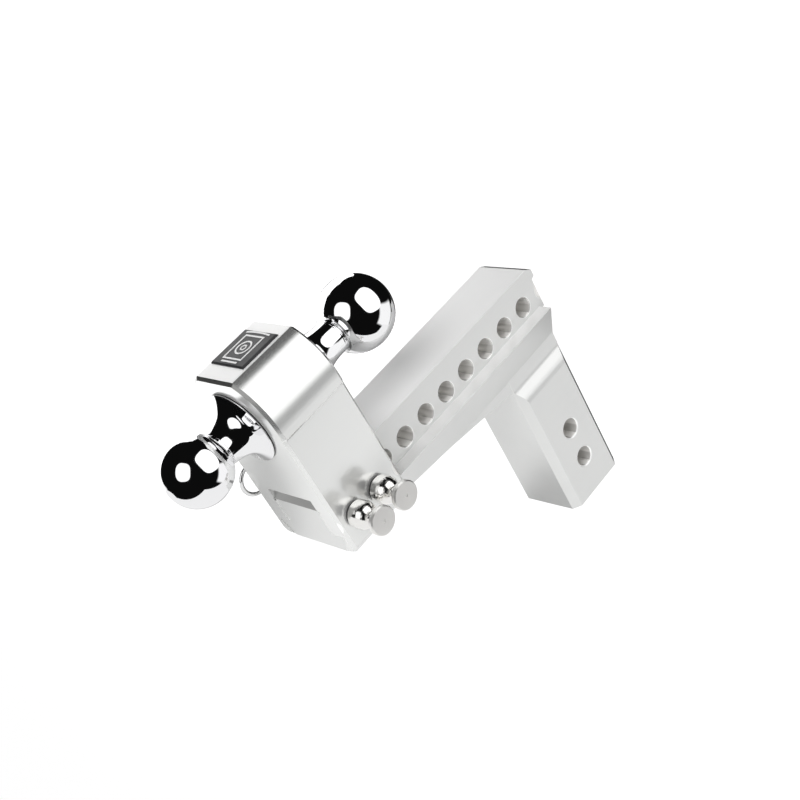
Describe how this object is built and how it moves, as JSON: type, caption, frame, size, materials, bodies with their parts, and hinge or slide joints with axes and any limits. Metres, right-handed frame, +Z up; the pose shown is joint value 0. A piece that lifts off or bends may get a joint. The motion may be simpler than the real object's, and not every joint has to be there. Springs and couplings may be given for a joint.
{
  "type": "trailer hitch with ball",
  "caption": "Adjustable aluminium ball mount: square shank, drilled column, sliding block with an upward and a downward ball, knobbed lock pins and spring clips.",
  "frame": {"origin": "centre of the forward hitch-pin hole, on the pin's axis and on the shank's centre line", "axes": "+X rearward along the shank, away from the towing vehicle and towards the balls; +Y along the hitch-pin holes, with the lock pins' knobs on the -Y side; +Z up, with the column rising from the shank and the smaller ball on top"},
  "size_m": [0.3146, 0.1311, 0.3392],
  "materials": {
    "machined_aluminium": "satin, clear anodised",
    "block_aluminium": "satin, clear anodised",
    "chrome": "mirror polished",
    "stud_steel": "turned",
    "stainless": "polished, satin disc",
    "ring_rubber": "matte",
    "clip_wire": "bright zinc",
    "badge_black": "gloss",
    "badge_silver": "satin"
  },
  "bodies": {
    "drawbar": {"drawbar": "machined_aluminium"},
    "ball_block": {"ball_block": "block_aluminium", "ball_stud": "stud_steel", "stud_lock_screw": "stud_steel", "upper_ball": "chrome", "lower_ball": "chrome", "badge_plate": "badge_black", "badge_border": "badge_silver"},
    "upper_pin": {"upper_lock_pin": "stainless", "upper_pin_ring": "ring_rubber"},
    "lower_pin": {"lower_lock_pin": "stainless", "lower_pin_ring": "ring_rubber"},
    "upper_clip": {"upper_pin_clip": "clip_wire"},
    "lower_clip": {"lower_pin_clip": "clip_wire"}
  },
  "joints": [
    {"name": "block_slide", "type": "slide", "parent": "drawbar", "child": "ball_block", "axis": [0, 0, 1], "range_m": [-0.1524, 0]},
    {"name": "upper_pin_pull", "type": "slide", "parent": "ball_block", "child": "upper_pin", "axis": [0, -1, 0], "range_m": [0, 0.108]},
    {"name": "upper_clip_pull", "type": "slide", "parent": "ball_block", "child": "upper_clip", "axis": [0.9063, 0, 0.4226], "range_m": [0, 0.03]},
    {"name": "lower_pin_pull", "type": "slide", "parent": "ball_block", "child": "lower_pin", "axis": [0, -1, 0], "range_m": [0, 0.108]},
    {"name": "lower_clip_pull", "type": "slide", "parent": "ball_block", "child": "lower_clip", "axis": [0.9063, 0, -0.4226], "range_m": [0, 0.03]}
  ]
}
